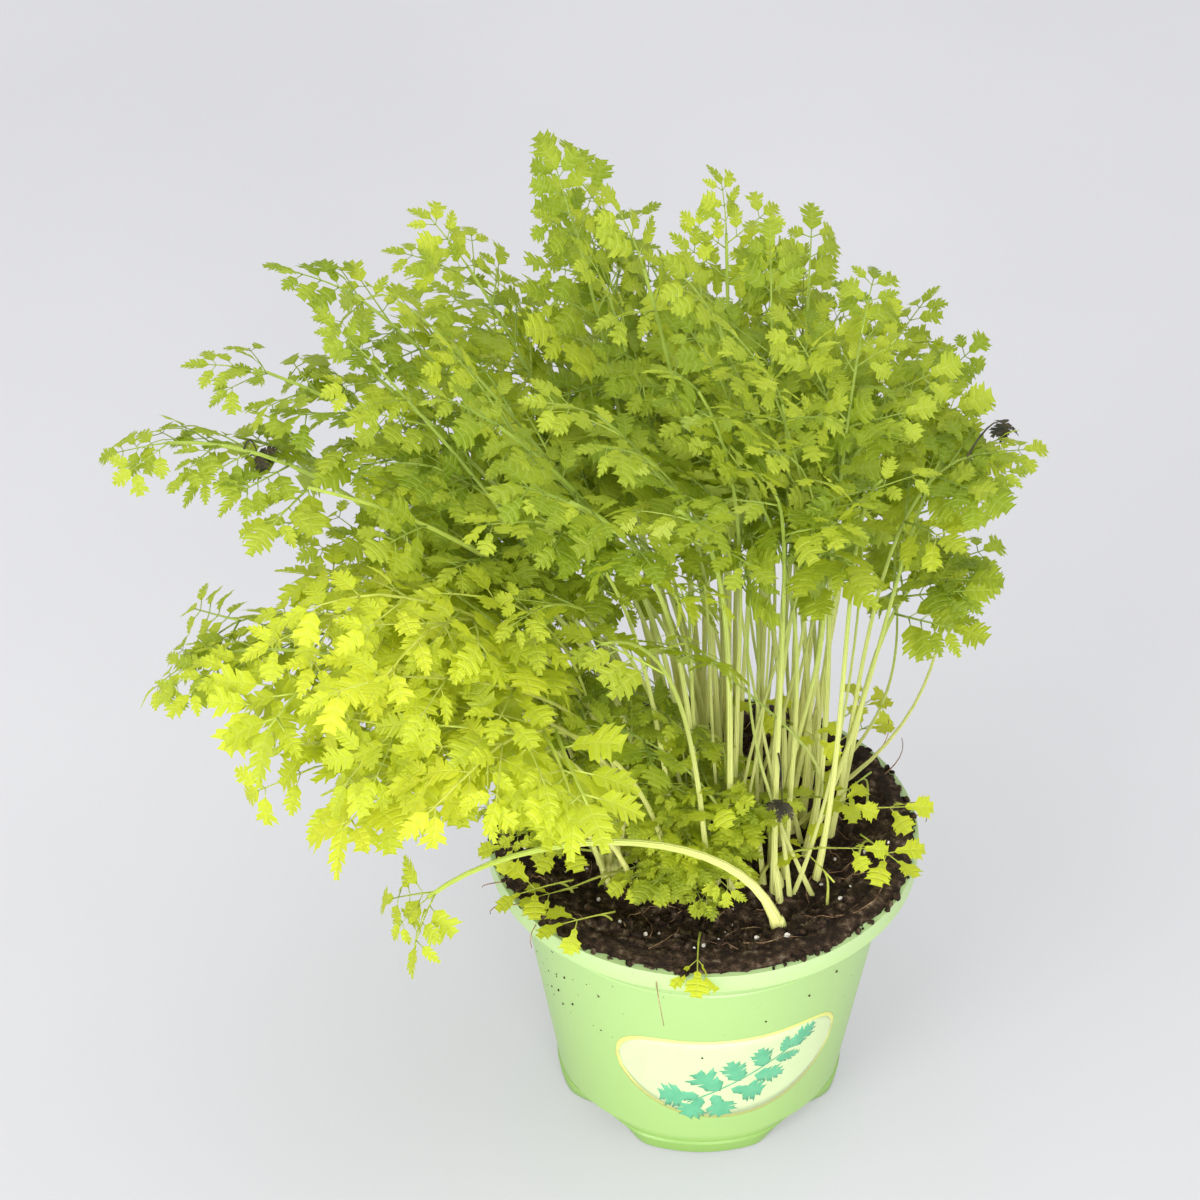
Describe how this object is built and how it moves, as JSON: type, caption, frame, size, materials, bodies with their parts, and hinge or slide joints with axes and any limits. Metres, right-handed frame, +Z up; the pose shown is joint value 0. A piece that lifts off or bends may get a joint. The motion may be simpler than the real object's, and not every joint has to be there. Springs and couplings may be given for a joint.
{
  "type": "potted chervil",
  "caption": "Bushy clump of ferny, finely divided herb leaves on thin stems, rooted in dark soil in a small tapered plastic pot with a turned-down lip; the clump leans to one side.",
  "frame": {"origin": "centre of the pot's underside, on the surface the pot stands on", "axes": "+Z up; the front of the pot faces -Y; the clump leans towards -X"},
  "size_m": [0.2465, 0.2033, 0.2851],
  "materials": {
    "green_plastic": "thin printed light-green plastic, satin, paler towards the lip",
    "dark_soil": "moist fibrous potting soil, matt",
    "leaf_green": "thin soft leaf, mid green to yellow-green, pale ribbed stems",
    "young_green": "thin soft young leaf, bright yellow-green"
  },
  "bodies": {
    "root": {"pot": "green_plastic", "soil": "dark_soil", "leaf_01": "leaf_green", "leaf_02": "leaf_green", "leaf_03": "leaf_green", "leaf_04": "leaf_green", "leaf_05": "leaf_green", "leaf_06": "leaf_green", "leaf_07": "leaf_green", "leaf_08": "leaf_green", "leaf_10": "leaf_green", "leaf_11": "leaf_green", "leaf_13": "leaf_green", "leaf_14": "leaf_green", "leaf_15": "leaf_green", "leaf_16": "leaf_green", "leaf_17": "leaf_green", "leaf_19": "leaf_green", "leaf_21": "leaf_green", "leaf_22": "leaf_green", "leaf_24": "leaf_green", "leaf_25": "leaf_green", "leaf_29": "leaf_green", "leaf_30": "leaf_green", "leaf_34": "leaf_green", "leaf_37": "leaf_green", "leaf_38": "leaf_green", "leaf_fallen": "leaf_green", "leaf_far_left": "leaf_green", "leaf_front_high": "leaf_green", "leaf_front_left": "leaf_green", "leaf_front_low": "leaf_green", "leaf_front_mid": "leaf_green", "leaf_left_spray": "leaf_green", "leaf_low_left": "leaf_green", "leaf_low_right": "leaf_green", "leaf_right": "leaf_green", "leaf_right_back": "leaf_green", "leaf_right_high": "leaf_green", "leaf_top": "leaf_green", "leaf_top_left": "leaf_green", "leaf_top_right": "leaf_green", "leaf_upper_left": "leaf_green", "young_leaf_1": "young_green", "young_leaf_2": "young_green", "young_leaf_3": "young_green", "young_leaf_4": "young_green", "young_leaf_5": "young_green", "young_leaf_6": "young_green", "young_leaf_7": "young_green", "young_leaf_8": "young_green"}
  },
  "joints": []
}
